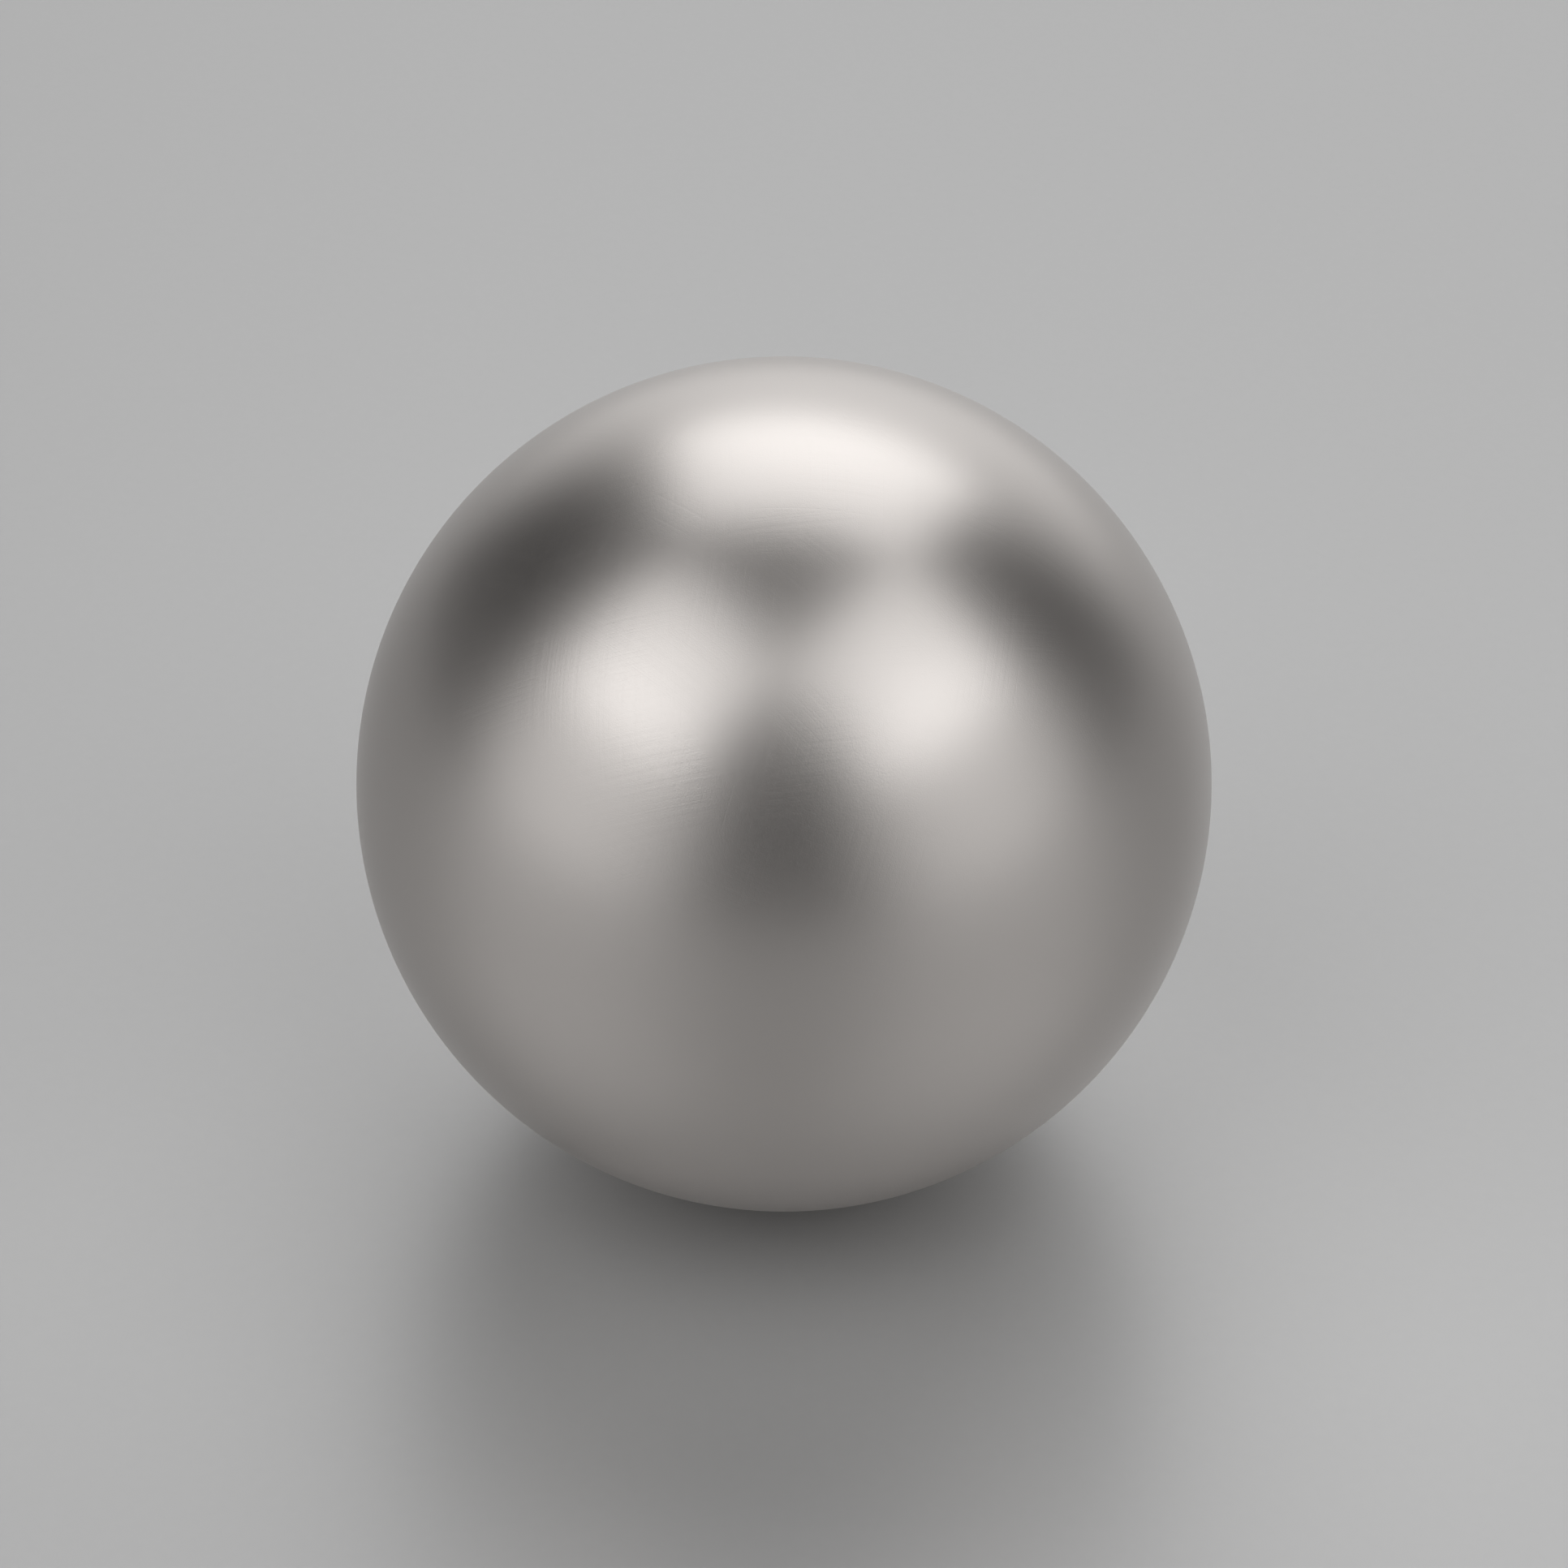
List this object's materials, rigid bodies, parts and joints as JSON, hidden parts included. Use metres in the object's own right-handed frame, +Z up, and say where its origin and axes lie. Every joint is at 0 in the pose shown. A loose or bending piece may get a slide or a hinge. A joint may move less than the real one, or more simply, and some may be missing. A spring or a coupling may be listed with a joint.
{
  "type": "steel ball",
  "caption": "Plain solid steel ball with a satin finish, a loose part for bench and desk use.",
  "frame": {"origin": "centre of the ball", "axes": "+Z up, away from the point that the ball sits on; the ball is alike along every axis"},
  "size_m": [0.0254, 0.0254, 0.0254],
  "materials": {
    "steel": "fine satin, the same all over"
  },
  "bodies": {
    "root": {"ball": "steel"}
  },
  "joints": []
}
